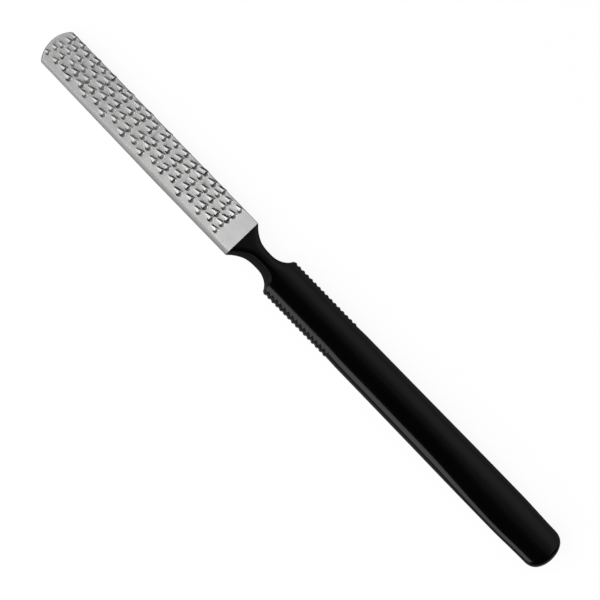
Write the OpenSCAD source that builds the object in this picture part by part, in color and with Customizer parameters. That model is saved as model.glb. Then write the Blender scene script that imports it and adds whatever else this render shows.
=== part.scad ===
/* [Overall] */
// Length over everything, from the tip of the blade to the end of the handle
overall_l = 250; // [235:1:270]

/* [Blade] */
// Length of the blade from its tip to the shoulder
blade_l = 95.4; // [92:0.1:110]
// Width of the blade
blade_w = 15.7; // [14.5:0.1:16.3]
// Thickness of the blade at the shoulder
blade_t = 4.3; // [3.7:0.1:5]
// Thickness of the blade at its tip
tip_t = 2.8; // [2.2:0.1:3.6]
// Length over which the back of the blade climbs towards the tip
taper_l = 58; // [30:1:80]
// Radius of the arc across the tip
tip_r = 12.5; // [10:0.5:20]
// Radius that rounds the two corners of the tip
tip_corner_r = 1.2; // [0.6:0.1:2]
// Radius that rounds the long edges of the blade
edge_r = 0.45; // [0.2:0.05:1]

/* [Rasp teeth] */
// Rows of teeth along the blade
tooth_rows = 20; // [10:1:20]
// Distance from one row of teeth to the next
row_pitch = 4.4; // [3.9:0.02:4.5]
// Distance from the tip to the peaks of the first row of teeth
first_row = 3.2; // [2.6:0.1:4]
// How far the rows in the middle of the blade are drawn towards the tip
row_bow = 1.9; // [0:0.1:2.4]
// How far the front rows are drawn towards the tip, and the rear rows towards the handle
row_wave = 1.05; // [0:0.05:1.2]
// Teeth in an even row, and one less than in an odd or a crowded row
lanes = 4; // [2:1:4]
// Distance between neighbouring teeth in a row
lane_pitch = 3.33; // [2.9:0.01:3.4]
// Least distance from a tooth's peak to the far edge of the blade
edge_keep = 0.8; // [0.6:0.1:1.4]
// Length of a tooth along the blade
tooth_l = 2.8; // [2:0.1:3.4]
// Width of a tooth's near flank, from the peak to the foot
tooth_near_w = 1.2; // [1:0.05:1.6]
// Width of a tooth's far flank, from the peak to the foot
tooth_far_w = 1.05; // [0.8:0.05:1.4]
// How far a tooth's low end lies to the near side of its peak
tooth_skew = 0.5; // [0:0.05:0.8]
// Height of a tooth above the face
tooth_h = 0.8; // [0.6:0.1:1.2]
// How far the foot of a tooth's front lies ahead of its peak
front_slope = 0.65; // [0.3:0.05:0.8]
// Width of the round pit in front of a tooth
pit_w = 2.16; // [1.2:0.02:2.3]
// Depth of the round pit in front of a tooth
pit_d = 0.55; // [0.3:0.05:0.7]
// How far the middle of the pit lies ahead of the peak
pit_ahead = 0.5; // [0:0.05:0.7]
// How far the middle of the pit lies to the near side of the peak
pit_aside = 0.6; // [0:0.05:0.8]

/* [Tang] */
// Length of the tang behind the shoulder
tang_l = 64; // [46:1:80]
// Width of the tang at the shoulder
tang_w = 3.8; // [3:0.1:4.2]
// Width of the tang at its far end
tang_end_w = 2.8; // [2.2:0.1:3]
// Thickness of the tang
tang_t = 3; // [2:0.1:3.3]
// Radius of the half-round notches that key the tang in the resin
key_r = 0.6; // [0.3:0.1:0.8]
// Pairs of notches along the tang
key_pairs = 4; // [1:1:4]
// Distance from one pair of notches to the next
key_pitch = 7; // [4:0.5:9]

/* [Resin] */
// Thickness of the resin round the tang
resin_gap = 0.2; // [0.1:0.05:0.4]
// Depth of the resin behind the end of the tang
resin_end = 1; // [0.5:0.1:2]

/* [Neck] */
// Distance from the shoulder to the narrowest part of the neck
neck_x = 9.8; // [9:0.1:10.5]
// Length of the narrowest part of the neck
neck_l = 1.5; // [0.5:0.1:4]
// Width of the neck at its narrowest
neck_w = 6.3; // [6.2:0.1:8]
// Thickness of the neck at its narrowest
neck_t = 5.8; // [5:0.1:7]
// Radius of the hollow between the shoulder and the neck
flare_r = 12.2; // [12:0.1:14]
// Radius of the hollow between the neck and the grip
grip_front_r = 7.3; // [7.2:0.1:8]
// How far the handle stands proud of each face of the blade at the shoulder
flare_step = 0.15; // [0.05:0.05:0.4]

/* [Handle] */
// Distance from the narrowest part of the neck to the front of the grip
grip_front_x = 6.85; // [6.8:0.05:7.1]
// Length of the grip, which its ribs fill
grip_l = 31.4; // [24:0.2:40]
// Width of the grip between its ribs
grip_w = 15.7; // [14:0.1:15.9]
// Width of the handle behind the grip
body_w = 16.3; // [15:0.1:17.5]
// Width of the handle at its widest, nearer to its end
rear_w = 17; // [15:0.1:18]
// Width of the handle where it has thinned out
tail_w = 17.3; // [15:0.1:18]
// Width of the handle where its rounded end begins
end_w = 16.4; // [14.5:0.1:17.5]
// Length over which the handle widens behind the grip
widen_l = 10; // [8:1:30]
// Thickness of the grip and of the handle behind it
handle_t = 7.3; // [6.4:0.1:9]
// Thickness of the handle towards its end
tail_t = 5.2; // [4.4:0.1:6.4]
// Length of the last stretch of the handle, which has thinned out
tail_l = 23; // [15:1:35]
// Length over which the handle thins out
thin_l = 36; // [15:1:45]
// Length of the rounded end of the handle
end_l = 6.6; // [5:0.1:9]
// Length over which the faces of the handle round over into its end
nose_l = 2.4; // [1.5:0.1:3]
// Height taken off the crown of the underside to make the flat sole
sole_cut = 0.12; // [0.05:0.01:0.25]

/* [Grip ribs] */
// Ribs on each narrow side of the grip
rib_count = 16; // [6:1:16]
// Radius of a rib
rib_r = 0.65; // [0.5:0.05:0.8]
// How far a rib stands out of the side
rib_h = 0.4; // [0.2:0.05:0.5]
// Length of a rib across the thickness of the grip
rib_l = 5.2; // [3:0.1:5.6]

/* [Hidden] */

// Pieces of a full circle
$fn = 32;

// Overrun of a cut past the surface that it opens, and of a join into its neighbour
overrun = 1;

// Middle of the thickness, for the blade and the handle alike
mid_z = handle_t / 2 - sole_cut;
face_z = mid_z + blade_t / 2;

// Places along the length, with the tip of the blade at the low end
tip_x = -overall_l / 2;
shoulder_x = tip_x + blade_l;
neck_start_x = shoulder_x + neck_x;
neck_end_x = neck_start_x + neck_l;
grip_x = neck_end_x + grip_front_x;
grip_end_x = grip_x + grip_l;
end_x = overall_l / 2;
tail_x = end_x - tail_l;
thin_x = tail_x - thin_l;
tang_end_x = shoulder_x + tang_l;
socket_end_x = tang_end_x + resin_end;

// Centre of the arc that rounds the far corner of the tip, and its bearing from the tip's own centre
corner_y = blade_w / 2 - tip_corner_r;
corner_bearing = 180 - asin(corner_y / (tip_r - tip_corner_r));
corner_x = tip_x + tip_r + (tip_r - tip_corner_r) * cos(corner_bearing);
tip_steps = 14;
corner_steps = 4;
edge_steps = 4;

// A row leans: its far end lies nearer to the handle, by this share of the distance across
lean_tip_share = 0.22;
lean_shoulder_share = 0.06;
// Middle of a row, measured from the middle of the blade, as a share of the lane pitch
even_middle_share = 0.36;
odd_middle_share = 0.42;
// Some rows are crowded: they hold one tooth more than an even row, closer together, and their middle
// moves from the first of these shares at the tip to the second one at the shoulder
crowded_rows = [0, 1, tooth_rows - 7, tooth_rows - 1];
crowded_tip_share = 0.5;
crowded_shoulder_share = 0.2;
crowded_pitch_share = 0.87;
// Teeth are punched one by one, so they stray by these shares of a pitch and of their size
stray_x_share = 0.06;
stray_y_share = 0.07;
stray_size_share = 0.07;
// The rows at the tip are struck lighter, from this share of the full size up
first_size_share = 0.76;
light_rows = 4;
// A tooth stands only where this share of its length is on the face
foothold_share = 0.5;
// The front of a tooth is turned towards the near side
front_turn_share = 0.45;
// The pit is part of a ball that meets the face in a circle as wide as the pit
pit_ball_r = (pit_w * pit_w / 4 + pit_d * pit_d) / (2 * pit_d);
// Depth of a tooth's root, below the bottom of its pit
root_d = 1.6 * pit_d;

// Squareness of the handle's sections: 2 is an ellipse, and more is nearer to a rectangle
flare_power = 9;
neck_power = 3.6;
body_power = 2.7;
// The widening begins this share of its length before the grip ends
widen_lead_share = 0.4;
// Share of the flare over which its section turns from square to round
flare_turn_share = 0.62;
// Points round a section of the handle, and stations along its stretches
ring_points = 32;
flare_stations = 12;
front_stations = 10;
body_stations = 24;
end_stations = 9;
// Stations of the space that the ribs fill
rib_stations = 6;
// Bluntness of the rounded end's plan: 2 is an ellipse, and more is blunter
end_power = 2.5;

function ease(u) = let (v = max(0, min(1, u))) v * v * (3 - 2 * v);
function blend(a, b, u) = a + (b - a) * u;
function arc(x, y, r, from, to, steps) =
    [for (k = [0:steps]) let (a = blend(from, to, k / steps)) [x + r * cos(a), y + r * sin(a)]];
function mirrored(points) = [for (k = [len(points) - 1:-1:0]) [points[k][0], -points[k][1]]];

// Outline of the blade from above: two corners and the arc of the tip
function half_blade() = concat(
    [[shoulder_x, blade_w / 2]],
    arc(corner_x, corner_y, tip_corner_r, 90, corner_bearing, corner_steps),
    arc(tip_x + tip_r, 0, tip_r, corner_bearing, 180, tip_steps / 2)
);

module blade_outline() {
    polygon(concat(half_blade(), mirrored(half_blade())));
}

// Section of the blade, across its width, with rounded edges
module blade_section() {
    y = blade_w / 2 - edge_r;
    z = blade_t / 2 - edge_r;
    polygon(concat(
        arc(y, z, edge_r, 0, 90, edge_steps),
        arc(-y, z, edge_r, 90, 180, edge_steps),
        arc(-y, -z, edge_r, 180, 270, edge_steps),
        arc(y, -z, edge_r, 270, 360, edge_steps)
    ));
}

// The blade from the side: its back climbs towards the tip
module blade_side() {
    back_z = mid_z - blade_t / 2;
    polygon([
        [tip_x - overrun, back_z + (blade_t - tip_t) * (1 + overrun / taper_l)],
        [tip_x + taper_l, back_z],
        [shoulder_x + overrun, back_z],
        [shoulder_x + overrun, face_z + overrun],
        [tip_x - overrun, face_z + overrun]
    ]);
}

module blade_bar() {
    intersection() {
        translate([0, 0, mid_z - blade_t])
            linear_extrude(2 * blade_t)
                blade_outline();
        translate([tip_x - overrun, 0, mid_z])
            rotate([90, 0, 90])
                linear_extrude(blade_l + overrun)
                    blade_section();
        translate([0, blade_w, 0])
            rotate([90, 0, 0])
                linear_extrude(2 * blade_w)
                    blade_side();
    }
}

// Where the rows and the teeth in them stand
function is_crowded(row) = len([for (r = crowded_rows) if (r == row) r]) > 0;
function row_share(row) = row / (tooth_rows - 1);
function row_lanes(row) = row % 2 == 0 && !is_crowded(row) ? lanes : lanes + 1;
function row_middle(row) =
    lane_pitch * (is_crowded(row) ? blend(crowded_tip_share, crowded_shoulder_share, row_share(row)) :
        row % 2 == 0 ? even_middle_share : odd_middle_share);
function tooth_y(row, lane) =
    let (pitch = lane_pitch * (is_crowded(row) ? crowded_pitch_share : 1))
    min(blade_w / 2 - edge_keep,
        row_middle(row) + pitch * ((row_lanes(row) - 1) / 2 - lane)
            + lane_pitch * stray_y_share * sin(97 * row + 151 * lane));
function row_x(row) =
    tip_x + first_row + row * row_pitch
        - row_bow * sin(180 * row_share(row)) - row_wave * sin(360 * row_share(row));
function tooth_x(row, lane) =
    row_x(row)
        + tooth_y(row, lane) * blend(lean_tip_share, lean_shoulder_share, pow(row_share(row), 2))
        + row_pitch * stray_x_share * sin(137 * row + 71 * lane);
function tooth_size(row, lane) =
    blend(first_size_share, 1, ease(row / light_rows)) * (1 + stray_size_share * sin(53 * row + 89 * lane));
// Where the face begins, at a distance from the middle of the blade
function face_x(y) = tip_x + tip_r - sqrt(max(0, tip_r * tip_r - y * y));
function stands(row, lane) =
    tooth_x(row, lane) - foothold_share * tooth_l * tooth_size(row, lane) > face_x(tooth_y(row, lane));

module at_teeth() {
    for (row = [0:tooth_rows - 1])
        for (lane = [0:row_lanes(row) - 1])
            if (stands(row, lane))
                translate([tooth_x(row, lane), tooth_y(row, lane), face_z])
                    scale(tooth_size(row, lane))
                        children();
}

// One tooth: its ridge rises towards the handle, and its front slopes down into the pit
module tooth() {
    function foot(z) = let (front_x = front_slope * (1 - z / tooth_h)) [
        [-tooth_l, -tooth_skew, z],
        [front_x - front_turn_share * tooth_near_w, -tooth_near_w, z],
        [front_x + front_turn_share * tooth_far_w, tooth_far_w, z]
    ];
    polyhedron(
        points = concat(foot(0), foot(-root_d), [[0, 0, tooth_h]]),
        faces = [
            [0, 6, 1], [0, 2, 6], [1, 6, 2],
            [0, 1, 4], [0, 4, 3], [0, 3, 5], [0, 5, 2], [1, 2, 5, 4], [3, 4, 5]
        ]
    );
}

module pit() {
    translate([pit_ahead, -pit_aside, pit_ball_r - pit_d])
        sphere(pit_ball_r);
}

// The tang's outline, grown by the resin for its socket
module tang_outline(gap, end) {
    polygon([
        [shoulder_x - overrun, -tang_w / 2 - gap],
        [tang_end_x + end, -tang_end_w / 2 - gap],
        [tang_end_x + end, tang_end_w / 2 + gap],
        [shoulder_x - overrun, tang_w / 2 + gap]
    ]);
}

// Notches along both sides of the tang, spaced back from its end
module tang_keys() {
    for (k = [1:key_pairs])
        let (x = tang_end_x - k * key_pitch,
             y = blend(tang_w, tang_end_w, (x - shoulder_x) / tang_l) / 2)
            for (side = [-1, 1])
                translate([x, side * y, mid_z - tang_t])
                    cylinder(r = key_r, h = 2 * tang_t);
}

module tang() {
    difference() {
        translate([0, 0, mid_z - tang_t / 2])
            linear_extrude(tang_t)
                tang_outline(0, 0);
        tang_keys();
    }
}

module socket() {
    translate([0, 0, mid_z - tang_t / 2 - resin_gap])
        linear_extrude(tang_t + 2 * resin_gap)
            tang_outline(resin_gap, resin_end);
}

// Width of the handle's plan at a place along its length
function hollow_w(r, reach) = neck_w + 2 * (r - sqrt(max(0, r * r - reach * reach)));
function rear_plan_w(x) =
    blend(blend(body_w, rear_w, ease((x - grip_end_x) / (tail_x - grip_end_x))),
        tail_w, ease((x - thin_x) / thin_l));
function body_plan_w(x) =
    blend(blend(grip_w, rear_plan_w(x), ease((x - grip_end_x) / widen_l + widen_lead_share)),
        end_w, ease((x - tail_x) / (tail_l - end_l)));
function end_share(x) = sqrt(max(0, 1 - pow(max(0, 1 - (end_x - x) / end_l), end_power)));
function plan_w(x) =
    x < neck_start_x ? min(blade_w, hollow_w(flare_r, neck_start_x - x)) :
    x < grip_x ? min(grip_w, hollow_w(grip_front_r, max(0, x - neck_end_x))) :
    body_plan_w(x) * end_share(x);

// Thickness of the handle at a place along its length
function nose_share(x) = sqrt(max(0, 1 - pow(max(0, x - end_x + nose_l) / nose_l, 2)));
function side_t(x) =
    x < neck_start_x ? blend(blade_t + 2 * flare_step, neck_t, ease((x - shoulder_x) / neck_x)) :
    x < grip_x ? blend(neck_t, handle_t, ease((x - neck_end_x) / grip_front_x)) :
    nose_share(x) * blend(handle_t, tail_t, ease((x - thin_x) / thin_l));

// Squareness of the handle's section at a place along its length
function squareness(x) =
    x < neck_start_x ?
        blend(flare_power, neck_power, ease((x - shoulder_x) / (flare_turn_share * neck_x))) :
        blend(neck_power, body_power, ease((x - neck_end_x) / grip_front_x));

// A section of the handle, with its sides moved out by a swell
function reach(a, power) = pow(pow(abs(cos(a)), power) + pow(abs(sin(a)), power), -1 / power);
function ring(x, swell) =
    let (w = plan_w(x) + 2 * swell, t = side_t(x), power = squareness(x))
    [for (k = [0:ring_points - 1]) let (a = 360 * k / ring_points)
        [x, w / 2 * cos(a) * reach(a, power), mid_z + t / 2 * sin(a) * reach(a, power)]];

stations = concat(
    [for (k = [0:flare_stations - 1]) shoulder_x + neck_x * k / flare_stations],
    [neck_start_x],
    [for (k = [0:front_stations - 1]) neck_end_x + grip_front_x * (1 - pow(1 - k / front_stations, 1.6))],
    [for (k = [0:body_stations - 1]) blend(grip_x, end_x - end_l, k / body_stations)],
    [for (k = [0:end_stations - 1]) end_x - end_l * pow(1 - k / end_stations, 2)]
);
last_ring = len(stations) - 1;

// Faces between neighbouring rings of a loft
function next(k) = (k + 1) % ring_points;
function at(s, k) = s * ring_points + k;
function loft_sides(count) = concat(
    [for (s = [0:count - 2], k = [0:ring_points - 1]) [at(s, k), at(s + 1, k), at(s + 1, next(k))]],
    [for (s = [0:count - 2], k = [0:ring_points - 1]) [at(s, k), at(s + 1, next(k)), at(s, next(k))]]
);
first_cap = [for (k = [0:ring_points - 1]) k];

// The handle without its ribs and its socket: rings of points, skinned from the shoulder to the end
module handle_skin() {
    tip_point = len(stations) * ring_points;
    polyhedron(
        points = concat([for (x = stations) each ring(x, 0)], [[end_x, 0, mid_z]]),
        faces = concat(
            [first_cap],
            loft_sides(len(stations)),
            [for (k = [0:ring_points - 1]) [at(last_ring, k), tip_point, at(last_ring, next(k))]]
        )
    );
}

// The space that the ribs fill: the grip with its sides moved out by the height of a rib
module rib_space() {
    polyhedron(
        points = [for (k = [0:rib_stations]) each ring(grip_x + grip_l * k / rib_stations, rib_h)],
        faces = concat(
            [first_cap],
            loft_sides(rib_stations + 1),
            [[for (k = [ring_points - 1:-1:0]) at(rib_stations, k)]]
        )
    );
}

// Ribs on both narrow sides, evenly spaced over the grip
module ribs() {
    pitch = grip_l / rib_count;
    intersection() {
        for (k = [0:rib_count - 1])
            let (x = grip_x + pitch * (k + 0.5))
                for (side = [-1, 1])
                    translate([x, side * (plan_w(x) / 2 + rib_h - rib_r), mid_z - rib_l / 2])
                        cylinder(r = rib_r, h = rib_l);
        rib_space();
    }
}

module rasp_blade() {
    color("silver") {
        difference() {
            blade_bar();
            at_teeth()
                pit();
        }
        intersection() {
            at_teeth()
                tooth();
            translate([0, 0, mid_z])
                linear_extrude(blade_t + tooth_h)
                    blade_outline();
        }
        tang();
    }
}

module tang_adhesive() {
    color("goldenrod")
        difference() {
            socket();
            tang();
            translate([shoulder_x - blade_l, -blade_w, 0])
                cube([blade_l, 2 * blade_w, 2 * mid_z]);
        }
}

module handle() {
    color("#202022")
        difference() {
            union() {
                handle_skin();
                ribs();
            }
            socket();
            translate([shoulder_x, -rear_w, -handle_t])
                cube([overall_l, 2 * rear_w, handle_t]);
        }
}

rasp_blade();
tang_adhesive();
handle();
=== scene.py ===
# %% [markdown]
# A foot file, modelled piece by piece
#
# The object is a foot file: a flat steel blade with punched rasp teeth, whose tang is bonded in a
# slim black handle with a narrow neck and a ribbed grip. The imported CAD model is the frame: it says
# where each piece lies. Here each piece gets its finished mesh and its material.
#
# The first cell loads that frame. Everything after it works in metres, in the frame's own axes:
# +X runs from the tip of the blade to the end of the handle, and +Z points out of the toothed face.

import math

import bmesh
import bpy
from mathutils import Matrix, Vector


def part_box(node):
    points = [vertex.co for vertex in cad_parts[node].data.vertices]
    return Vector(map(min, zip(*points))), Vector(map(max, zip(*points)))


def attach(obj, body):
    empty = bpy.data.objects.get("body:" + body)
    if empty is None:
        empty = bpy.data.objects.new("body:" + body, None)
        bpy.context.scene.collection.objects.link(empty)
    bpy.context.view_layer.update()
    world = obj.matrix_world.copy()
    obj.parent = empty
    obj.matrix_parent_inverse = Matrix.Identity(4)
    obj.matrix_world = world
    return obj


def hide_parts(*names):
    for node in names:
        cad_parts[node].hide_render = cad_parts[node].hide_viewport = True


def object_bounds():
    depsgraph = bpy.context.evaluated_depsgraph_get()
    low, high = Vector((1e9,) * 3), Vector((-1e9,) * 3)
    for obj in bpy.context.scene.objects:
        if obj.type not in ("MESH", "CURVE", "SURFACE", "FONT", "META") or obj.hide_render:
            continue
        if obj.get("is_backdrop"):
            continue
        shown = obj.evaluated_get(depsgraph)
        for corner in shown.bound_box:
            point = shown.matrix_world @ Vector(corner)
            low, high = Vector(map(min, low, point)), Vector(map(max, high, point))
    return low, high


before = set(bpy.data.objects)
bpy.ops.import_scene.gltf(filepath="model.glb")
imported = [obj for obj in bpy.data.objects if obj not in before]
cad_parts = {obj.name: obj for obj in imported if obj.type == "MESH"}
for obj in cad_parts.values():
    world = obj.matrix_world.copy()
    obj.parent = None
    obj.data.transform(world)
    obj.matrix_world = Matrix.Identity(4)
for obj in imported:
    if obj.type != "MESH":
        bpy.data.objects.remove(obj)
cad_low, cad_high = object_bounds()
print("pieces in the frame:", sorted(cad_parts))

# %% [markdown]
# Places
#
# The blade and the handle are lofted again here with finer detail, so the script needs to know
# where they begin and end. Those places are read off the frame. What a bounding box can't say, such
# as the thickness of the blade at its two ends, is written as a real size. The handle lies on a
# narrow sole that is cut off its round underside, so its middle is a little less than half its
# thickness above the ground.

# %% Read the main places off the frame
MM = 0.001
blade_low, blade_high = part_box("rasp_blade")
handle_low, handle_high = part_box("handle")
tip_x = blade_low.x
shoulder_x = handle_low.x
end_x = handle_high.x
socket_end_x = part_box("tang_adhesive")[1].x
half_blade = blade_high.y
HANDLE_THICK = 7.3 * MM
SOLE_CUT = 0.12 * MM
mid_z = HANDLE_THICK / 2 - SOLE_CUT
print("tip, shoulder and end in mm:", [round(x / MM, 2) for x in (tip_x, shoulder_x, end_x)])

# %% [markdown]
# The view
#
# The photograph is taken from far away with a long lens, so parallel edges stay parallel. The file
# lies on its back and the camera looks down on it, leaning 25 degrees towards the near long edge,
# and turned so that the file runs from the upper left to the lower right.
#
# A camera is placed best from its own three axes: right, up and backwards. The long axis of the
# file fixes the turn, and the lean fixes the rest.

# %% Make the camera
LEAN = math.radians(25)
TURN = math.radians(45.88)
PICTURE_SIDE = 208.1 * MM
CAMERA_AWAY = 2.2
AIM_ALONG = -0.41 * MM
AIM_ACROSS = -0.24 * MM
SENSOR = 36


def camera_axes():
    """The camera's right, up and backward directions, and the direction across the file."""
    across = Vector((0, math.cos(LEAN), math.sin(LEAN)))
    along = Vector((1, 0, 0))
    right = math.cos(TURN) * along + math.sin(TURN) * across
    up = math.cos(TURN) * across - math.sin(TURN) * along
    return right, up, right.cross(up), across


right, up, back, across = camera_axes()
camera = bpy.data.objects.new("camera", bpy.data.cameras.new("camera"))
bpy.context.scene.collection.objects.link(camera)
aim = Vector((AIM_ALONG, 0, mid_z)) + AIM_ACROSS * across
turned = Matrix((right, up, back)).transposed().to_4x4()
camera.matrix_world = Matrix.Translation(aim + back * CAMERA_AWAY) @ turned
camera.data.sensor_width = SENSOR
camera.data.lens = SENSOR * CAMERA_AWAY / PICTURE_SIDE
camera.data.clip_start = 0.1
camera.data.clip_end = 30
bpy.context.scene.camera = camera
print("lens", round(camera.data.lens), "mm, camera", CAMERA_AWAY, "m away")

# %% [markdown]
# Helpers for shapes
#
# Most of this object can be made from rings: a closed loop of points at one place along a piece,
# then another loop a little further on. Skinning the loops gives a closed solid, and a closed solid
# can be cut or joined safely. So there is one helper that eases a value from 0 to 1, one that skins
# rings, and one that turns points and faces into an object.

# %% Helpers for shapes


def ease(u):
    """0 below 0, 1 above 1, and a smooth climb between."""
    u = min(1.0, max(0.0, u))
    return u * u * (3 - 2 * u)


def blend(a, b, u):
    """From a at 0 to b at 1, in a straight line."""
    return a + (b - a) * u


def skin(rings):
    """A closed skin over rings of points, with a flat cap on the first and on the last."""
    count = len(rings[0])
    points = [p for ring in rings for p in ring]
    faces = [list(range(count))[::-1]]
    for r in range(len(rings) - 1):
        for k in range(count):
            a = r * count + k
            b = r * count + (k + 1) % count
            faces.append([a, b, b + count, a + count])
    start = (len(rings) - 1) * count
    faces.append([start + k for k in range(count)])
    return points, faces


def circle(centre, radius, count):
    """Points of a level circle."""
    turns = [math.tau * k / count for k in range(count)]
    return [centre + radius * Vector((math.cos(a), math.sin(a), 0)) for a in turns]


def shape(name, points, faces):
    """An object from points and faces, with every face turned to look outwards."""
    mesh = bpy.data.meshes.new(name)
    mesh.from_pydata(points, [], faces)
    work = bmesh.new()
    work.from_mesh(mesh)
    bmesh.ops.recalc_face_normals(work, faces=work.faces)
    work.to_mesh(mesh)
    work.free()
    thing = bpy.data.objects.new(name, mesh)
    bpy.context.scene.collection.objects.link(thing)
    return thing


print("ease(0.5) is", ease(0.5))

# %% [markdown]
# The blade's blank
#
# The blank is a flat steel bar. From above it has a rounded tip with small corners, and a square
# shoulder at the handle. Its toothed face is flat, and the back is ground away towards the tip, so
# the tip is a good deal thinner than the shoulder. All long edges are rounded a little.
#
# The outline is a list of points, each with its outward direction. Moving the points inwards along
# that direction while the height changes gives rings that round the edges, the same way a lathe
# tool would, but along any outline. Where the outline turns to the handle, the rounding gets small,
# because the shoulder is crisp.

# %% Outline of the blade
TIP_RADIUS = 12.5 * MM
TIP_CORNER = 1.2 * MM
SHOULDER_CORNER = 0.25 * MM
TIP_STEPS = 32
TIP_CORNER_STEPS = 8
SHOULDER_STEPS = 4


def arc(centre, radius, start, end, steps):
    """Points of an arc, each with its outward direction."""
    out = []
    for k in range(steps + 1):
        a = math.radians(blend(start, end, k / steps))
        outward = Vector((math.cos(a), math.sin(a), 0))
        out.append((centre + outward * radius, outward))
    return out


def blade_outline():
    """The outline seen from above, anticlockwise from the far corner of the tip."""
    y = half_blade - TIP_CORNER
    bearing = 180 - math.degrees(math.asin(y / (TIP_RADIUS - TIP_CORNER)))
    x = tip_x + TIP_RADIUS + (TIP_RADIUS - TIP_CORNER) * math.cos(math.radians(bearing))
    far = arc(Vector((x, y, 0)), TIP_CORNER, 90, bearing, TIP_CORNER_STEPS)
    tip = arc(Vector((tip_x + TIP_RADIUS, 0, 0)), TIP_RADIUS, bearing, 360 - bearing, TIP_STEPS)
    near = arc(Vector((x, -y, 0)), TIP_CORNER, 360 - bearing, 270, TIP_CORNER_STEPS)
    sx = shoulder_x - SHOULDER_CORNER
    sy = half_blade - SHOULDER_CORNER
    near_end = arc(Vector((sx, -sy, 0)), SHOULDER_CORNER, -90, 0, SHOULDER_STEPS)
    far_end = arc(Vector((sx, sy, 0)), SHOULDER_CORNER, 0, 90, SHOULDER_STEPS)
    return far + tip[1:-1] + near + near_end + far_end


outline = blade_outline()
print("the outline has", len(outline), "points")

# %% Rings of the blank, from the back to the toothed face
BLADE_THICK = 4.3 * MM
TIP_THICK = 2.8 * MM
TAPER_LONG = 58 * MM
EDGE_RADIUS = 0.45 * MM
SHOULDER_EDGE = 0.1 * MM
SHOULDER_SWITCH = 1.4
EDGE_STEPS = 7
face_z = mid_z + BLADE_THICK / 2


def back_z(x):
    """Height of the blade's back: it climbs towards the tip."""
    taper = max(0, 1 - (x - tip_x) / TAPER_LONG)
    return mid_z - BLADE_THICK / 2 + (BLADE_THICK - TIP_THICK) * taper


def edge_ring(side, a):
    """The outline drawn in by the rounding of the edge, at an angle a of that rounding."""
    ring = []
    for point, outward in outline:
        radius = blend(EDGE_RADIUS, SHOULDER_EDGE, ease(outward.x * SHOULDER_SWITCH))
        inset = radius * (1 - math.cos(a))
        drop = radius * (1 - math.sin(a))
        z = face_z - drop if side > 0 else back_z(point.x) + drop
        ring.append(point - outward * inset + Vector((0, 0, z)))
    return ring


def with_taper_start(points):
    """The long edges get one point more, where the back starts to climb."""
    x = tip_x + TAPER_LONG
    near = next(k for k, (p, out) in enumerate(points) if p.x > x)
    points.insert(near, (Vector((x, -half_blade, 0)), Vector((0, -1, 0))))
    points.append((Vector((x, half_blade, 0)), Vector((0, 1, 0))))
    return points


outline = with_taper_start(outline)
angles = [math.pi / 2 * k / EDGE_STEPS for k in range(EDGE_STEPS + 1)]
rings = [edge_ring(-1, a) for a in reversed(angles)] + [edge_ring(1, a) for a in angles]
blade = shape("rasp", *skin(rings))
print("the blank has", len(blade.data.polygons), "faces")

# %% [markdown]
# Where the teeth stand
#
# The teeth are struck one by one with a punch, in 20 rows. Each row leans a little, every other row
# is shifted sideways and holds a fifth tooth at the far edge, and a few rows are crowded. The rows
# stand closest together at the tip. A regular grid would look like a machine made it, so small waves
# move each tooth off its place: a sine of the row and lane numbers looks random, and still gives the
# same result in each run.

# %% Rows and lanes of teeth
ROWS = 20
ROW_PITCH = 4.4 * MM
FIRST_ROW = 3.2 * MM
BOW = 1.9 * MM
WAVE = 1.05 * MM
TIP_LEAN = 0.22
SHOULDER_LEAN = 0.06
LANES = 4
LANE_PITCH = 3.33 * MM
EVEN_SHIFT = 0.36
ODD_SHIFT = 0.42
CROWDED_ROWS = (0, 1, ROWS - 7, ROWS - 1)
CROWDED_PITCH = 0.87
CROWDED_TIP_SHIFT = 0.5
CROWDED_SHOULDER_SHIFT = 0.2
EDGE_KEEP = 0.8 * MM


def teeth_in(row):
    """Odd rows and crowded rows hold one tooth more."""
    return LANES + (1 if row % 2 == 1 or row in CROWDED_ROWS else 0)


def row_shift(row, share):
    """How far the middle of a row lies off the blade's middle, in lanes."""
    if row in CROWDED_ROWS:
        return blend(CROWDED_TIP_SHIFT, CROWDED_SHOULDER_SHIFT, share)
    return ODD_SHIFT if row % 2 == 1 else EVEN_SHIFT


print("the first rows hold", [teeth_in(row) for row in range(6)], "teeth")

# %% Small strays, and the place and size of each tooth
ALONG_WAVE = (137, 71)
ACROSS_WAVE = (97, 151)
SIZE_WAVE = (53, 89)
STRAY_ALONG = 0.06
STRAY_ACROSS = 0.07
STRAY_SIZE = 0.07
FIRST_SIZE = 0.76
LIGHT_ROWS = 4
TOOTH_LONG = 2.8 * MM
FOOTHOLD = 0.5


def stray(wave, row, lane):
    """From -1 to 1: the sine of an angle that grows by so many degrees a row and a lane."""
    return math.sin(math.radians(wave[0] * row + wave[1] * lane))


def tooth_place(row, lane):
    """The foot of a tooth's peak."""
    share = row / (ROWS - 1)
    pitch = LANE_PITCH * (CROWDED_PITCH if row in CROWDED_ROWS else 1)
    y = LANE_PITCH * row_shift(row, share) + pitch * ((teeth_in(row) - 1) / 2 - lane)
    y += LANE_PITCH * STRAY_ACROSS * stray(ACROSS_WAVE, row, lane)
    y = min(y, half_blade - EDGE_KEEP)
    lean = blend(TIP_LEAN, SHOULDER_LEAN, share ** 2)
    x = tip_x + FIRST_ROW + row * ROW_PITCH + y * lean
    x -= BOW * math.sin(math.pi * share) + WAVE * math.sin(math.tau * share)
    x += ROW_PITCH * STRAY_ALONG * stray(ALONG_WAVE, row, lane)
    return Vector((x, y, face_z))


def tooth_size(row, lane):
    """The rows at the tip are struck lighter."""
    size = blend(FIRST_SIZE, 1, ease(row / LIGHT_ROWS))
    return size * (1 + STRAY_SIZE * stray(SIZE_WAVE, row, lane))


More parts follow.
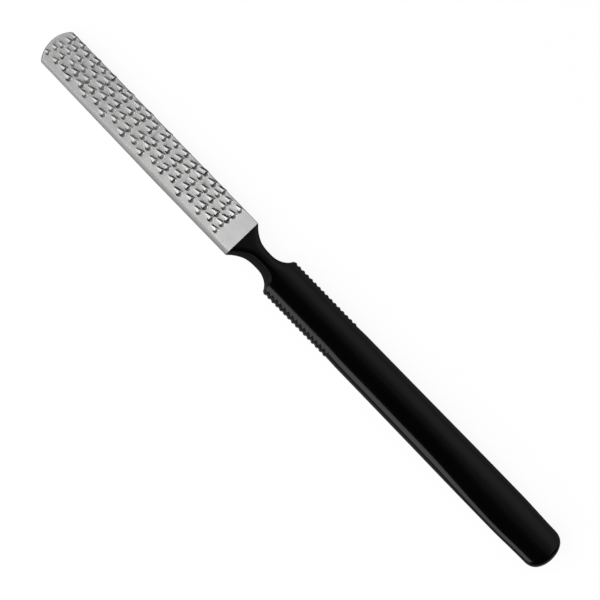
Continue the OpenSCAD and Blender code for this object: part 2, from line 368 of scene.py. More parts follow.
def places_of_teeth():
    """Every tooth whose foot still finds hold inside the rounded tip."""
    out = []
    for row in range(ROWS):
        for lane in range(teeth_in(row)):
            place = tooth_place(row, lane)
            size = tooth_size(row, lane)
            curve = tip_x + TIP_RADIUS - math.sqrt(max(0, TIP_RADIUS ** 2 - place.y ** 2))
            if place.x - FOOTHOLD * TOOTH_LONG * size > curve:
                out.append((place, size, row, lane))
    return out


places = places_of_teeth()
print(len(places), "teeth in", ROWS, "rows")

# %% [markdown]
# One tooth
#
# A rasp tooth is a thorn of steel that the punch pushed up. Its ridge climbs from the face towards
# the handle and a little towards the far edge, with a flank on each side. At the peak it breaks off,
# and its front slopes down steeply into the pit. Cross-sections along the ridge are the natural way
# to describe that: each is a small ring, and towards the peak the low points of the ring are pushed
# forward, which tilts the front. The near points lag behind, which turns the front to the near side.
# The powers say how the growth is spread: under 1 most of it comes early, and over 1 late.

# %% Rings of one tooth, in its own axes
TOOTH_HIGH = 0.8 * MM
NEAR_WIDE = 1.2 * MM
FAR_WIDE = 1.05 * MM
NEAR_FLANK = ((0.62, 0.13), (0.3, 0.48))
FAR_FLANK = ((0.5, 0.5),)
RIDGE_SKEW = 0.5 * MM
RIDGE_FLAT = 0.2 * MM
RIDGE_POWER = 1.1
NEAR_POWER = 0.75
FAR_POWER = 0.6
FRONT_TURN = 0.45
TURN_POWER = 3
FRONT_SLOPE = 0.65 * MM
SLOPE_POWER = 4
ROOT = 0.8 * MM
LOW_END = 0.03
TOOTH_STEPS = 8


def tooth_profile(near, far, high):
    """Half a section on each side of the ridge, from the near root over the ridge to the far root."""
    profile = [(-near, -ROOT), (-near, 0)]
    profile += [(-wide * near, tall * high) for wide, tall in NEAR_FLANK]
    profile += [(-RIDGE_FLAT, high), (RIDGE_FLAT, high)]
    profile += [(wide * far, tall * high) for wide, tall in FAR_FLANK]
    return profile + [(far, 0), (far, -ROOT)]


def tooth_section(u):
    """A cross-section of the tooth: u is 0 at its low end and 1 at its front."""
    back = -TOOTH_LONG * (1 - u)
    ridge = -RIDGE_SKEW * (1 - u)
    near = NEAR_WIDE * u ** NEAR_POWER
    far = FAR_WIDE * u ** FAR_POWER
    ring = []
    for y, z in tooth_profile(near, far, TOOTH_HIGH * u ** RIDGE_POWER):
        turn = FRONT_TURN * y * u ** TURN_POWER
        slope = FRONT_SLOPE * (1 - z / TOOTH_HIGH) * u ** SLOPE_POWER
        ring.append(Vector((back + turn + slope, ridge + y, z)))
    return ring


def tooth_rings():
    return [tooth_section(blend(LOW_END, 1, k / TOOTH_STEPS)) for k in range(TOOTH_STEPS + 1)]


print("a tooth is skinned over", len(tooth_rings()), "rings")

# %% [markdown]
# One pit
#
# In front of each tooth, and a little to its near side, the punch left a round pit. It is part of a
# ball, with a rim that rolls over softly because the steel flowed there. The tool that cuts it is a
# small bowl, made of rings too, that reaches a little above the face so that the cut goes through
# cleanly.

# %% Rings of one pit, in the same axes
PIT_RADIUS = 1.08 * MM
PIT_DEEP = 0.55 * MM
PIT_AHEAD = 0.5 * MM
PIT_ASIDE = 0.6 * MM
PIT_FLOOR = 0.995
PIT_POWER = 1.5
PIT_ABOVE = 0.3 * MM
RIM_ROLL = 0.08 * MM
PIT_POINTS = 28
PIT_STEPS = 9


def pit_rings():
    """Circles up the bowl, closer together near its floor, and one last circle above the face."""
    ball = (PIT_RADIUS ** 2 + PIT_DEEP ** 2) / (2 * PIT_DEEP)
    rings = []
    for k in range(PIT_STEPS + 1):
        z = blend(-PIT_DEEP * PIT_FLOOR, 0, (k / PIT_STEPS) ** PIT_POWER)
        radius = math.sqrt(ball ** 2 - (z + PIT_DEEP - ball) ** 2)
        radius += RIM_ROLL * max(0, 1 + z / (2 * RIM_ROLL)) ** 2
        rings.append((radius, z))
    rings.append((rings[-1][0] + RIM_ROLL, PIT_ABOVE))
    return [circle(Vector((0, 0, z)), radius, PIT_POINTS) for radius, z in rings]


print("a pit is", round(2 * PIT_RADIUS / MM, 2), "mm across")

# %% [markdown]
# Striking the face
#
# Now each tooth and each pit is set in its place, turned and sized a little differently. The pits
# are cut out of the blank first, and then the teeth are joined to it. A tooth that runs over the
# long edge is trimmed flush with it, as the grinder did.
#
# The exact boolean takes long on so many copies. The manifold one is fast, but it wants closed solids
# that don't run into each other. The low end of a tooth can touch the pit of the row behind it, never
# that of its own row, so one tool holds the even rows and another one the odd rows. The toothed face
# is cut into strips first: one large face with ninety holes in it is hard to fill without a flaw.

# %% Helpers that copy, combine and slice
STRAY_TURN = math.radians(4)
TURN_WAVE = (31, 113)


def copies(name, odd, rings, offset):
    """One object that holds a copy of the rings' skin at the teeth's places, in every other row."""
    points = []
    faces = []
    own_points, own_faces = skin(rings)
    for place, size, row, lane in places:
        if row % 2 != odd:
            continue
        turn = STRAY_TURN * stray(TURN_WAVE, row, lane)
        move = Matrix.Translation(place) @ Matrix.Rotation(turn, 4, "Z") @ Matrix.Scale(size, 4)
        start = len(points)
        points += [move @ (p + offset) for p in own_points]
        faces += [[start + i for i in face] for face in own_faces]
    return shape(name, points, faces)


def combine(target, tool, how):
    """Cuts the tool out of the target, joins it or keeps what both share. The tool is used up."""
    step = target.modifiers.new(how, "BOOLEAN")
    step.operation = how
    step.solver = "MANIFOLD"
    step.object = tool
    graph = bpy.context.evaluated_depsgraph_get()
    done = bpy.data.meshes.new_from_object(target.evaluated_get(graph))
    target.modifiers.clear()
    target.data = done
    bpy.data.objects.remove(tool)
    print(how, "of", target.name, "leaves", len(done.polygons), "faces")


def slice_up(thing):
    """Cuts the blank's large faces into strips across it, and leaves its form as it is."""
    work = bmesh.new()
    work.from_mesh(thing.data)
    for row in range(1, ROWS + 1):
        everything = work.verts[:] + work.edges[:] + work.faces[:]
        x = tip_x + row * ROW_PITCH
        bmesh.ops.bisect_plane(work, geom=everything, plane_co=(x, 0, 0), plane_no=(1, 0, 0))
    work.to_mesh(thing.data)
    work.free()


def outline_block():
    """A block with the blade's outline, through the upper half of the blade and its teeth."""
    low = [p + Vector((0, 0, mid_z)) for p, outward in outline]
    high = [p + Vector((0, 0, face_z + 2 * TOOTH_HIGH)) for p, outward in outline]
    return shape("block", *skin([low, high]))


print("the teeth are turned by up to", round(math.degrees(STRAY_TURN)), "degrees")

# %% Cut the pits, then trim and join the teeth
slice_up(blade)
for odd in (0, 1):
    pits = copies("pits", odd, pit_rings(), Vector((PIT_AHEAD, -PIT_ASIDE, 0)))
    combine(blade, pits, "DIFFERENCE")
for odd in (0, 1):
    teeth = copies("teeth", odd, tooth_rings(), Vector((0, 0, 0)))
    combine(teeth, outline_block(), "INTERSECT")
    combine(blade, teeth, "UNION")

# %% [markdown]
# The tang
#
# Behind the shoulder the blade narrows to a tang, which the handle hides. It tapers, and it has
# four pairs of half-round notches so that the resin can key into it. Nobody sees it in the
# photograph, but the mesh is one piece of steel on the real thing, so it is one piece here.

# %% Add the tang and its notches
TANG_WIDE = 3.8 * MM
TANG_END_WIDE = 2.8 * MM
TANG_THICK = 3 * MM
RESIN_GAP = 0.2 * MM
RESIN_END = 1 * MM
KEY_RADIUS = 0.6 * MM
KEY_PAIRS = 4
KEY_PITCH = 7 * MM
KEY_POINTS = 24
INTO = 1 * MM
tang_end_x = socket_end_x - RESIN_END


def tang_rings(gap, end_x):
    """Two rectangles, one inside the blade and one at the tang's end, both grown by a gap."""
    rings = []
    for x, wide in ((shoulder_x - INTO, TANG_WIDE), (end_x, TANG_END_WIDE)):
        y = wide / 2 + gap
        z = TANG_THICK / 2 + gap
        corners = ((-y, -z), (y, -z), (y, z), (-y, z))
        rings.append([Vector((x, cy, mid_z + cz)) for cy, cz in corners])
    return rings


def tang_notches():
    """Upright pins beside the tang, one for each notch."""
    points = []
    faces = []
    for pair in range(1, KEY_PAIRS + 1):
        x = tang_end_x - pair * KEY_PITCH
        share = (x - shoulder_x) / (tang_end_x - shoulder_x)
        for side in (-1, 1):
            y = side * blend(TANG_WIDE, TANG_END_WIDE, share) / 2
            ends = [Vector((x, y, mid_z + z)) for z in (-TANG_THICK, TANG_THICK)]
            pin_points, pin_faces = skin([circle(end, KEY_RADIUS, KEY_POINTS) for end in ends])
            start = len(points)
            points += pin_points
            faces += [[start + i for i in face] for face in pin_faces]
    return shape("notches", points, faces)


tang = shape("tang", *skin(tang_rings(0, tang_end_x)))
combine(tang, tang_notches(), "DIFFERENCE")
combine(blade, tang, "UNION")

# %% [markdown]
# Shading the blade
#
# After the cuts, the face of the blade is made of big polygons with many corners. If they were shaded
# smoothly, their normals would be pulled over at every rim and leave long dark streaks. So the truly
# flat faces are shaded flat, and only the rounded ones are smooth, with sharp edges kept sharp.

# %% Choose flat and smooth faces
SHARP = math.radians(32)
LEVEL = 0.9999
FACE_SPARE = 0.01 * MM


def shade(thing, is_flat):
    """Smooth shading, but for flat faces and over sharp edges."""
    for face in thing.data.polygons:
        face.use_smooth = not is_flat(face)
    thing.data.set_sharp_from_angle(angle=SHARP)


def on_the_face(face):
    return face.normal.z > LEVEL and abs(face.center.z - face_z) < FACE_SPARE


shade(blade, on_the_face)
print("flat faces:", sum(1 for face in blade.data.polygons if not face.use_smooth))

# %% [markdown]
# The plan of the handle
#
# The handle is a lofted form. Seen from above it starts as wide as the blade, draws in through a
# hollow arc to a narrow neck, opens through a second arc to the grip, and then stays nearly
# parallel up to its rounded end. Each stretch is a small function of the place along the length.

# %% Width of the handle
NECK_X = 9.8 * MM
NECK_LONG = 1.5 * MM
NECK_WIDE = 6.3 * MM
FLARE_RADIUS = 12.2 * MM
FRONT_RADIUS = 7.3 * MM
FRONT_X = 6.85 * MM
GRIP_LONG = 31.4 * MM
GRIP_WIDE = 15.7 * MM
BODY_WIDE = 16.3 * MM
REAR_WIDE = 17 * MM
TAIL_WIDE = 17.28 * MM
END_WIDE = 16.4 * MM
TAIL_LONG = 23 * MM
THIN_LONG = 36 * MM
WIDEN_LONG = 10 * MM
WIDEN_LEAD = 0.4
END_LONG = 6.6 * MM
END_POWER = 2.5
neck_start_x = shoulder_x + NECK_X
neck_end_x = neck_start_x + NECK_LONG
grip_x = neck_end_x + FRONT_X
grip_end_x = grip_x + GRIP_LONG
tail_x = end_x - TAIL_LONG
thin_x = tail_x - THIN_LONG


def hollow_wide(radius, reach):
    """Width of the neck at a reach from its narrowest place, where an arc opens on each side."""
    return NECK_WIDE + 2 * (radius - math.sqrt(max(0, radius ** 2 - reach ** 2)))


def body_wide(x):
    """Width of the grip and of the body behind it."""
    rear = blend(BODY_WIDE, REAR_WIDE, ease((x - grip_end_x) / (tail_x - grip_end_x)))
    rear = blend(rear, TAIL_WIDE, ease((x - thin_x) / THIN_LONG))
    body = blend(GRIP_WIDE, rear, ease((x - grip_end_x) / WIDEN_LONG + WIDEN_LEAD))
    return blend(body, END_WIDE, ease((x - tail_x) / (TAIL_LONG - END_LONG)))


def plan_wide(x):
    """Width of the handle at any place along it, without the ribs."""
    if x < neck_start_x:
        return min(2 * half_blade, hollow_wide(FLARE_RADIUS, neck_start_x - x))
    if x < grip_x:
        return min(GRIP_WIDE, hollow_wide(FRONT_RADIUS, max(0, x - neck_end_x)))
    rounding = max(0, 1 - (end_x - x) / END_LONG)
    return body_wide(x) * math.sqrt(max(0, 1 - rounding ** END_POWER))


for name, x in (("neck", neck_end_x), ("grip", grip_x), ("tail", tail_x)):
    print(name, round(plan_wide(x) / MM, 1), "mm wide")

# %% [markdown]
# The thickness and the section of the handle
#
# From the side the handle is thickest at the grip and thins out towards its end, where its faces
# round over. Its section is a superellipse: squarer than an ellipse, rounder than a rectangle. One
# number sets how square, and it falls along the neck, from the nearly square front at the blade to
# the crowned grip.

# %% Thickness and squareness of the handle
NECK_THICK = 5.8 * MM
FLARE_STEP = 0.15 * MM
TAIL_THICK = 5.2 * MM
NOSE_LONG = 2.4 * MM
FLARE_POWER = 9
NECK_POWER = 3.6
BODY_POWER = 2.7
FLARE_TURN = 0.62


def side_thick(x):
    """Thickness of the handle from its crown to its bottom, before the sole is cut off."""
    if x < neck_start_x:
        return blend(BLADE_THICK + 2 * FLARE_STEP, NECK_THICK, ease((x - shoulder_x) / NECK_X))
    if x < grip_x:
        return blend(NECK_THICK, HANDLE_THICK, ease((x - neck_end_x) / FRONT_X))
    rounding = max(0, 1 - (end_x - x) / NOSE_LONG)
    nose = math.sqrt(max(0, 1 - rounding ** 2))
    return nose * blend(HANDLE_THICK, TAIL_THICK, ease((x - thin_x) / THIN_LONG))


def squareness(x):
    """The power of the superellipse: 2 is an ellipse, and more is squarer."""
    if x < neck_start_x:
        return blend(FLARE_POWER, NECK_POWER, ease((x - shoulder_x) / (FLARE_TURN * NECK_X)))
    return blend(NECK_POWER, BODY_POWER, ease((x - neck_end_x) / FRONT_X))


print("thickness at the tail", round(side_thick(tail_x) / MM, 2), "mm")

# %% [markdown]
# The ribs of the grip
#
# Both narrow sides of the grip carry 16 upright ribs. They could be separate pins joined to the
# body, but the moulded ones run softly into it. So they are a swelling of the section: its sides
# move out where a rib is, and the swelling fades towards the top and the bottom.

# %% Swelling of the ribs
RIB_COUNT = 16
RIB_HIGH = 0.4 * MM
RIB_TALL = 5.2 * MM
RIB_FADE = 1.2 * MM
RIB_SHARE = 0.72
RIB_CROWN = 0.7


def rib_swell(x, z):
    """How far the side stands out at a place along the grip and a height from its middle."""
    if not grip_x < x < grip_end_x:
        return 0
    pitch = GRIP_LONG / RIB_COUNT
    place = ((x - grip_x) / pitch) % 1 - 0.5
    wave = max(0, math.cos(math.pi * place / RIB_SHARE)) ** RIB_CROWN
    return RIB_HIGH * wave * ease((RIB_TALL / 2 - abs(z)) / RIB_FADE)


print("ribs every", round(GRIP_LONG / RIB_COUNT / MM, 2), "mm")

# %% [markdown]
# Lofting the handle
#
# A ring of the section is made at each station along the length. The stations stand close together
# over the ribs and at the rounded end, and further apart where little changes. Each ring is cut
# flat at the bottom, which gives the sole that the file rests on. The front has its sharp rim
# rounded by two extra rings. At last the socket for the tang and its resin is cut out.

# %% Rings of the handle
RING_POINTS = 128
SIDE_FROM = 0.35
RIM = 0.12 * MM
RIM_CUT = 0.3
NECK_STEP = 0.3 * MM
RIB_LEAD = 1 * MM
RIB_STEP = 0.12 * MM
BODY_STEP = 0.8 * MM
END_STRETCH = 7 * MM
END_RINGS = 36


def section_point(a, wide, thick, power):
    """A point of the superellipse, in the direction a of a square drawn round it."""
    c = math.cos(a)
    s = math.sin(a)
    reach = (abs(c) ** power + abs(s) ** power) ** (-1 / power)
    return wide / 2 * c * reach, thick / 2 * s * reach


def handle_ring(x, inset=0.0):
    """One ring of the handle. Only its sides, well away from the middle, swell into ribs."""
    wide = plan_wide(x) - 2 * inset
    thick = side_thick(x) - 2 * inset
    ring = []
    for k in range(RING_POINTS):
        y, z = section_point(math.tau * k / RING_POINTS, wide, thick, squareness(x))
        if abs(y) > SIDE_FROM * wide:
            y += math.copysign(rib_swell(x, z), y)
        ring.append(Vector((x, y, max(0, mid_z + z))))
    return ring


def stations():
    """Places of the rings, closest over the ribs and towards the rounded end."""
    out = []
    x = shoulder_x + RIM
    while x < end_x - END_STRETCH:
        out.append(x)
        if grip_x - RIB_LEAD < x < grip_end_x:
            x += RIB_STEP
        else:
            x += NECK_STEP if x < grip_x else BODY_STEP
    for k in range(END_RINGS):
        out.append(end_x - END_STRETCH * (1 - k / END_RINGS) ** 2)
    return out


def front_rings():
    """Two rings that round the rim of the handle's front face."""
    rings = []
    for inset, forward in ((RIM, 0), (RIM_CUT * RIM, RIM_CUT * RIM)):
        ring = handle_ring(shoulder_x, inset)
        rings.append([p + Vector((forward, 0, 0)) for p in ring])
    return rings


rings = front_rings() + [handle_ring(x) for x in stations()]
handle = shape("grip_handle", *skin(rings))
print("the handle has", len(rings), "rings of", RING_POINTS, "points")

# %% Cut the socket


def on_the_front_or_sole(face):
    return abs(face.normal.x) > LEVEL or face.normal.z < -LEVEL


socket = shape("socket", *skin(tang_rings(RESIN_GAP, socket_end_x)))
combine(handle, socket, "DIFFERENCE")
shade(handle, on_the_front_or_sole)

# %% [markdown]
# Materials from small masks
#
# Worked metal is never one colour. The face of the blade is satin, the pits and the torn teeth are
# darker, and so are the ground sides. Some faces also get painted shade, where the lamps light them
# less. All of that depends on where a point lies and which way it looks, so each material is built
# from masks: a number from 0 to 1 that is worked out of the point's own place or direction. A mask
# then blends two colours or two roughnesses.

# %% Helpers for node materials


def put(tree, socket, value):
    """Links an output to a socket, or writes a plain value in it."""
    if isinstance(value, bpy.types.NodeSocket):
        tree.links.new(value, socket)
    else:
        socket.default_value = value


def maths(tree, how, a, b=0.0):
    """One number worked out from two, each of them an output or a plain value."""
    node = tree.nodes.new("ShaderNodeMath")
    node.operation = how
    put(tree, node.inputs[0], a)
    put(tree, node.inputs[1], b)
    return node.outputs[0]


class Nodes:
    """Short names for the nodes that the materials below are made of."""

    def __init__(self, name):
        self.material = bpy.data.materials.new(name)
        self.material.use_nodes = True
        self.tree = self.material.node_tree
        self.shader = self.tree.nodes["Principled BSDF"]
        sight = self.tree.nodes.new("ShaderNodeTexCoord").outputs
        self.place = sight["Object"]
        self.x, self.y, self.z = self.split(self.place)
        self.normal_x, self.normal_y, self.normal_z = self.split(sight["Normal"])

    def split(self, vector):
        node = self.tree.nodes.new("ShaderNodeSeparateXYZ")
        self.tree.links.new(vector, node.inputs[0])
        return node.outputs

    def maths(self, how, a, b=0.0):
        return maths(self.tree, how, a, b)

    def plus(self, a, b):
        return self.maths("ADD", a, b)

    def times(self, value, *others):
        for other in others:
            value = self.maths("MULTIPLY", value, other)
        return value

    def mask(self, value, low, high):
        """0 where the value is below low and 1 above high, or the other way round."""
        node = self.tree.nodes.new("ShaderNodeMapRange")
        node.interpolation_type = "SMOOTHSTEP"
        put(self.tree, node.inputs["Value"], value)
        flip = low > high
        node.inputs["From Min"].default_value = min(low, high)
        node.inputs["From Max"].default_value = max(low, high)
        node.inputs["To Min"].default_value = 1 if flip else 0
        node.inputs["To Max"].default_value = 0 if flip else 1
        return node.outputs["Result"]

    def mix(self, mask, a, b):
        """A number between a and b."""
        node = self.tree.nodes.new("ShaderNodeMix")
        put(self.tree, node.inputs["Factor"], mask)
        put(self.tree, node.inputs["A"], a)
        put(self.tree, node.inputs["B"], b)
        return node.outputs["Result"]

    def noise(self, size, stretch=(1, 1, 1), detail=3.0, seed=0.0):
        """Cloudy noise from 0 to 1. Its clumps are about one size long, times the stretch."""
        scale = self.tree.nodes.new("ShaderNodeMapping")
        put(self.tree, scale.inputs["Vector"], self.place)
        scale.inputs["Scale"].default_value = [1 / (size * s) for s in stretch]
        scale.inputs["Location"].default_value = (seed, seed * 0.7, seed * 0.3)
        node = self.tree.nodes.new("ShaderNodeTexNoise")
        node.inputs["Scale"].default_value = 1
        node.inputs["Detail"].default_value = detail
        put(self.tree, node.inputs["Vector"], scale.outputs["Vector"])
        return node.outputs["Fac"]

    def bump(self, height, deep, strength):
        node = self.tree.nodes.new("ShaderNodeBump")
        node.inputs["Strength"].default_value = strength
        node.inputs["Distance"].default_value = deep
        put(self.tree, node.inputs["Height"], height)
        put(self.tree, self.shader.inputs["Normal"], node.outputs["Normal"])

    def roughness(self, value):
        put(self.tree, self.shader.inputs["Roughness"], value)

    def grey(self, value, tint):
        """A colour from one number, a little warmer or cooler by its tint."""
        node = self.tree.nodes.new("ShaderNodeCombineColor")
        for socket, share in zip(node.inputs, tint):
            put(self.tree, socket, self.times(value, share))
        put(self.tree, self.shader.inputs["Base Color"], node.outputs["Color"])


print("node helpers ready")

# %% [markdown]
# Steel of the blade
#
# The steel is satin: its lamps blur into soft patches. Behind the last row the blade was never struck
# and keeps a brighter finish. Towards the tip the face is painted darker, as painted shade of the
# weaker light there. The faces of the teeth and pits that look to the far side and to the handle,
# which the lamps hardly light, get painted shade, some more and some less. So do the upper parts of
# the teeth, as a painted reflection of the dark ceiling. Looking to the handle counts for less high
# up on a tooth, where this painted shade is lighter. The sides are painted darker towards the back,
# as painted shade of the floor close under them, and a fine bump along the blade stands for the lines
# of the grinding belt.
#
# Bands say where a mask begins and where it is full: heights from the toothed face, places from the
# shoulder, or distances from the long edge. A tone is a share of white. Where it is a pair, it runs
# from the first value to the second along with its mask, such as from the tip to the shoulder.

# %% Where the blade is plain, ground or punched, and how high a point stands
SIDE_BAND = (0.4 * MM, 0.2 * MM)
PLAIN_BAND = (-11.5 * MM, -8 * MM)
BACK_BAND = 1 * MM
PIT_BAND = (-0.04 * MM, -0.3 * MM)
PEAK_BAND = (0.1 * MM, 0.9 * MM)
HIGH_ON_TOOTH_BAND = (0.1 * MM, 0.5 * MM)
steel = Nodes("satin_steel")
height = steel.maths("SUBTRACT", steel.z, face_z)
from_edge = steel.maths("SUBTRACT", half_blade, steel.maths("ABSOLUTE", steel.y))
along = steel.mask(steel.x, tip_x, shoulder_x)
plain = steel.mask(steel.maths("SUBTRACT", steel.x, shoulder_x), *PLAIN_BAND)
sides = steel.mask(from_edge, *SIDE_BAND)
inner = steel.maths("SUBTRACT", 1.0, sides)
# Painted shade: the sides are darker towards the back, close to the floor.
low_side_shade = steel.times(sides, steel.mask(height, 0.0, -BLADE_THICK))
above_back = steel.mask(steel.z, mid_z, mid_z + BACK_BAND)
pits = steel.times(steel.mask(height, *PIT_BAND), above_back, inner)
tips = steel.mask(height, *PEAK_BAND)
# How high a point stands on a tooth: the painted shade of faces looking to the handle is lighter
# there.
high_on_tooth = steel.mask(height, *HIGH_ON_TOOTH_BAND)
print("masks ready for", steel.material.name)

# %% Where painted shade goes, and the clouds and lines of the surface
FAR_SHARE = 0.8
HANDLE_SHARE = (0.6, 0.42)
SHADE_TURN = (0.04, 0.22)
CREST_TURN = (-0.34, -0.2)
CREST_BAND = (0.1 * MM, 0.25 * MM)
PATCH_BAND = (0.35, 0.65)
# Painted shade on the faces that look to the far side or to the handle, where the lamps hardly reach.
to_far = steel.times(steel.normal_y, FAR_SHARE)
to_handle = steel.times(steel.normal_x, steel.mix(high_on_tooth, *HANDLE_SHARE))
away = steel.mask(steel.plus(to_far, to_handle), *SHADE_TURN)
# Painted reflection of the dark ceiling, high on the teeth where they don't face the near side.
crest = steel.times(steel.mask(steel.normal_y, *CREST_TURN), steel.mask(height, *CREST_BAND))
# All painted shade: the facing-away part is kept off the sides and the back, and the dark crests are
# added.
painted_shade = steel.maths("MAXIMUM", steel.times(away, inner, above_back), crest)
uneven = steel.mask(steel.noise(5 * MM, seed=6), *PATCH_BAND)
clouds = steel.noise(3 * MM, (2, 1, 1), seed=3)
grain = steel.noise(0.16 * MM, (1.5, 1, 1), detail=2, seed=5)
belt = steel.noise(0.12 * MM, (16, 1, 1), detail=3, seed=9)
print("patches, clouds and lines ready")

# %% Tones and roughness of the blade
FACE_TONE = (0.65, 0.8)
PLAIN_TONE = 0.9
SIDE_TONE = 0.42
LOW_SIDE_SHADE_TONE = 0.25
PIT_TONE = 0.32
PEAK_TONE = 0.36
SHADE_TONE = (0.22, 0.06)
UNEVEN_SHARE = (0.4, 1.7)
CLOUD_SHARE = (0.92, 1.06)
GRAIN_SHARE = (0.88, 1.1)
STEEL_TINT = (1.0, 1.0, 0.995)
FACE_ROUGH = 0.78
PLAIN_ROUGH = 0.7
PEAK_ROUGH = 0.6
CLOUD_ROUGH = (-0.04, 0.04)
METAL = 0.6
BELT_SHARE = 0.8
BELT_DEEP = 0.012 * MM
BELT_STRENGTH = 0.8
# The tone of the painted shade: lighter towards the tip, and patchy.
shade_tone = steel.times(steel.mix(along, *SHADE_TONE), steel.mix(uneven, *UNEVEN_SHARE))
# Painted shade: the face is darker towards the tip, where the light is weaker.
tone = steel.mix(plain, steel.mix(along, *FACE_TONE), PLAIN_TONE)
tone = steel.mix(sides, tone, SIDE_TONE)
# Painted shade of the floor on the lower part of the sides.
tone = steel.mix(low_side_shade, tone, LOW_SIDE_SHADE_TONE)
tone = steel.mix(pits, tone, PIT_TONE)
tone = steel.mix(tips, tone, PEAK_TONE)
# Painted shade darkens the faces that look away from the lamps, and the crests.
tone = steel.mix(painted_shade, tone, shade_tone)
tone = steel.times(tone, steel.mix(clouds, *CLOUD_SHARE), steel.mix(grain, *GRAIN_SHARE))
steel.grey(tone, STEEL_TINT)

rough = steel.mix(plain, FACE_ROUGH, PLAIN_ROUGH)
rough = steel.mix(tips, rough, PEAK_ROUGH)
steel.roughness(steel.plus(rough, steel.mix(clouds, *CLOUD_ROUGH)))
steel.shader.inputs["Metallic"].default_value = METAL
steel.bump(steel.plus(grain, steel.times(belt, BELT_SHARE)), BELT_DEEP, BELT_STRENGTH)
print("steel has", len(steel.tree.nodes), "nodes")

# %% [markdown]
# Black plastic of the handle
#
# The handle is moulded in black plastic with a half gloss. It is so dark that only its reflections
# show its form, so what matters is the roughness: about 0.2, with faint clouds where fingers have
# polished it, and a very fine grain from the mould that softens the edges of the highlights. A few
# long scuffs are a little duller. Fingers polish the crown of the neck too, but not its rounded
# edges, which keep the dull skin of the mould.

# %% Material of the handle
BLACK_TONE = (0.0006, 0.0011)
BLACK_TINT = (1.0, 1.0, 1.04)
GLOSS_ROUGH = (0.15, 0.21)
SKIN_ROUGH = 0.92
SCUFF_ROUGH = 0.07
SPECULAR = 0.2
NECK_BAND = (1 * MM, -3 * MM)
EDGE_TURN = (0.94, 0.84)
SCUFF_BAND = (0.62, 0.72)
MOULD_DEEP = 0.006 * MM
MOULD_STRENGTH = 0.6
plastic = Nodes("moulded_black_plastic")
touch = plastic.noise(14 * MM, (2, 1, 1), detail=4, seed=2)
mould = plastic.noise(0.22 * MM, detail=2, seed=7)
scuffs = plastic.mask(plastic.noise(0.5 * MM, (9, 1, 1), detail=4, seed=11), *SCUFF_BAND)
neck = plastic.mask(plastic.maths("SUBTRACT", plastic.x, grip_x), *NECK_BAND)
edges = plastic.mask(plastic.normal_z, *EDGE_TURN)
plastic.grey(plastic.mix(touch, *BLACK_TONE), BLACK_TINT)
rough = plastic.mix(plastic.times(neck, edges), plastic.mix(touch, *GLOSS_ROUGH), SKIN_ROUGH)
plastic.roughness(plastic.plus(rough, plastic.times(scuffs, SCUFF_ROUGH)))
plastic.shader.inputs["Specular IOR Level"].default_value = SPECULAR
plastic.bump(mould, MOULD_DEEP, MOULD_STRENGTH)
print("plastic has", len(plastic.tree.nodes), "nodes")

# %% [markdown]
# Resin round the tang
#
# The resin lies inside the handle. It is amber and a little cloudy from the bubbles that were
# stirred in. Its CAD form is already right, so that object stays and only gets its material.

# %% Material of the resin
RESIN_TONE = (0.5, 0.64)
RESIN_TINT = (1.0, 0.68, 0.3)
RESIN_ROUGH = (0.25, 0.45)
resin = Nodes("set_resin")
bubbles = resin.noise(0.7 * MM, detail=4, seed=4)
resin.grey(resin.mix(bubbles, *RESIN_TONE), RESIN_TINT)
resin.roughness(resin.mix(bubbles, *RESIN_ROUGH))
print("resin has", len(resin.tree.nodes), "nodes")

# %% [markdown]
# Which piece is which
#
# Each finished mesh takes the place of one solid of the frame. Nothing on this object moves against
# anything else, so all of it rides with the root.

# %% Give each piece its material and its place in the frame


def wear(thing, material):
    thing.data.materials.clear()
    thing.data.materials.append(material)


wear(blade, steel.material)
wear(handle, plastic.material)
wear(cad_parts["tang_adhesive"], resin.material)
for thing, node, slot in ((blade, "rasp_blade", "blade_steel"), (handle, "handle", "black_plastic")):
    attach(thing, "root")
    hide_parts(node)
    print(thing.name, "stands for", node)

# %% [markdown]
# The floor
#
# The photograph has a plain white ground. The floor is white for the camera: it glows a little below
# white and adds the light that falls on it, so a faint shadow of the file stays visible. Mirrored in
# the steel, a white floor looks as bright as the lamps make it, so reflections see a blend of the
# glow and of a plain matte floor. All other light falls on plain grey. The floor lies a hair below
# the sole, so that the two don't coincide.

# %% Shape of the floor
HALF_FLOOR = 6
FLOOR_Z = -0.02 * MM
corners = [(-1, -1), (1, -1), (1, 1), (-1, 1)]
corners = [Vector((x * HALF_FLOOR, y * HALF_FLOOR, FLOOR_Z)) for x, y in corners]
floor = shape("floor", corners, [[0, 1, 2, 3]])
print("the floor is", 2 * HALF_FLOOR, "m wide")

# %% Material of the floor
FLOOR_GLOW = 0.93
MIRRORED_SHARE = 0.15
SEEN_ALBEDO = 0.1
LIGHT_ALBEDO = 0.4
ground = bpy.data.materials.new("floor")
ground.use_nodes = True
tree = ground.node_tree
tree.nodes.clear()


def seen_share(tree):
    """1 for what the camera sees, a share for what it sees mirrored, and 0 for all other light."""
    rays = tree.nodes.new("ShaderNodeLightPath").outputs
    mirrored = maths(tree, "MAXIMUM", rays["Is Glossy Ray"], rays["Is Transmission Ray"])
    mirrored = maths(tree, "MULTIPLY", mirrored, MIRRORED_SHARE)
    return maths(tree, "MAXIMUM", rays["Is Camera Ray"], mirrored)


def matte(albedo):
    node = tree.nodes.new("ShaderNodeBsdfDiffuse")
    node.inputs["Color"].default_value = (albedo, albedo, albedo, 1)
    return node.outputs[0]


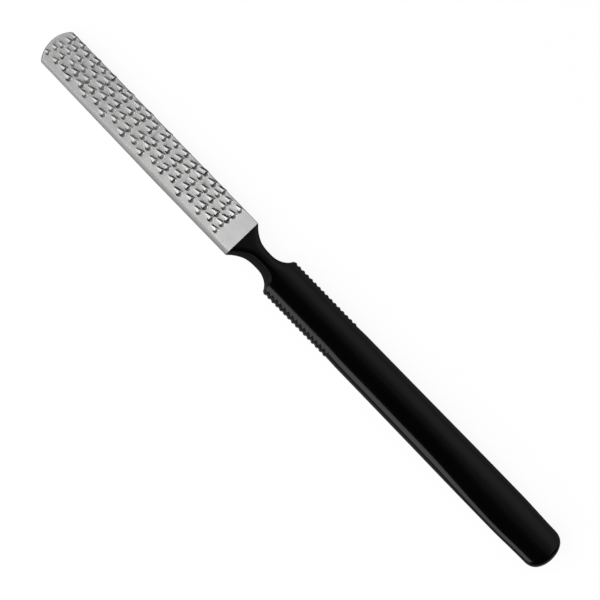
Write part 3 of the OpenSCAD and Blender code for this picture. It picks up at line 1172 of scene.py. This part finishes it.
glow = tree.nodes.new("ShaderNodeEmission")
glow.inputs["Strength"].default_value = FLOOR_GLOW
bright = tree.nodes.new("ShaderNodeAddShader")
tree.links.new(glow.outputs[0], bright.inputs[0])
tree.links.new(matte(SEEN_ALBEDO), bright.inputs[1])
choose = tree.nodes.new("ShaderNodeMixShader")
tree.links.new(seen_share(tree), choose.inputs[0])
tree.links.new(matte(LIGHT_ALBEDO), choose.inputs[1])
tree.links.new(bright.outputs[0], choose.inputs[2])
surface = tree.nodes.new("ShaderNodeOutputMaterial")
tree.links.new(choose.outputs[0], surface.inputs[0])
floor.data.materials.append(ground)
floor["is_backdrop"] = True
print("the floor glows at", FLOOR_GLOW)

# %% [markdown]
# The lamps
#
# Large softboxes run along the file on both sides. The near one reaches from the floor to high up
# beside it, and draws the bright line along the near edge of the handle. The far one is weaker, and
# the far half of the handle mirrors it. A third one lights the upper part of that side a second
# time, so the handle grows lighter towards its crown and then turns dark at once. Between the two
# sides the ceiling is dark, which leaves the middle of the handle black. The world adds a white
# backdrop all round, up to a quarter of the way to straight up as a height on the unit sphere. It
# gives no light: only the camera and reflections see it.

# %% Softboxes
SOFTBOX_AWAY = 1.0
SOFTBOX_WIDE = 1.8


def softbox(name, low, high, radiance, along=0.0):
    """A lamp from one bearing to another, in degrees from straight up towards the near side."""
    middle = math.radians((low + high) / 2)
    tall = 2 * SOFTBOX_AWAY * math.tan(math.radians(abs(high - low) / 2))
    lamp = bpy.data.lights.new(name, "AREA")
    lamp.shape = "RECTANGLE"
    lamp.size = SOFTBOX_WIDE
    lamp.size_y = tall
    lamp.energy = radiance * math.pi * SOFTBOX_WIDE * tall
    thing = bpy.data.objects.new(name, lamp)
    bpy.context.scene.collection.objects.link(thing)
    towards = Vector((0, -math.sin(middle), math.cos(middle)))
    thing.location = towards * SOFTBOX_AWAY + Vector((along, 0, 0))
    thing.rotation_euler = (middle, 0, 0)
    print(name, "is", SOFTBOX_WIDE, "by", round(tall, 2), "m")


softbox("near_softbox", low=31, high=88, radiance=3.6, along=-0.45)
softbox("far_softbox", low=-26, high=-80, radiance=0.47)
softbox("high_softbox", low=-26, high=-46, radiance=0.3)

# %% World
CEILING = 0.02
BACKDROP_TOP = 0.25
BACKDROP_FADE = 0.1
world = bpy.data.worlds.new("studio")
bpy.context.scene.world = world
world.use_nodes = True
tree = world.node_tree
split = tree.nodes.new("ShaderNodeSeparateXYZ")
tree.links.new(tree.nodes.new("ShaderNodeTexCoord").outputs["Generated"], split.inputs[0])
backdrop = tree.nodes.new("ShaderNodeMapRange")
tree.links.new(split.outputs["Z"], backdrop.inputs["Value"])
backdrop.inputs["From Min"].default_value = BACKDROP_TOP + BACKDROP_FADE
backdrop.inputs["From Max"].default_value = BACKDROP_TOP
white = maths(tree, "MULTIPLY", backdrop.outputs[0], seen_share(tree))
background = tree.nodes["Background"]
background.inputs["Color"].default_value = (1, 1, 1, 1)
tree.links.new(maths(tree, "MAXIMUM", white, CEILING), background.inputs["Strength"])
bpy.context.scene.view_settings.view_transform = "Standard"
print("the ceiling's strength is", CEILING)

# %% [markdown]
# Sizes
#
# The finished meshes must not stick out of the frame, so the last cell prints how much room they
# leave inside it at both ends of each axis.

# %% Compare the sizes and finish
seen_low, seen_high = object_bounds()
for k, axis in enumerate("xyz"):
    spare = (seen_low[k] - cad_low[k], cad_high[k] - seen_high[k])
    print(axis, "spare at both ends in mm:", [round(v / MM, 3) for v in spare])
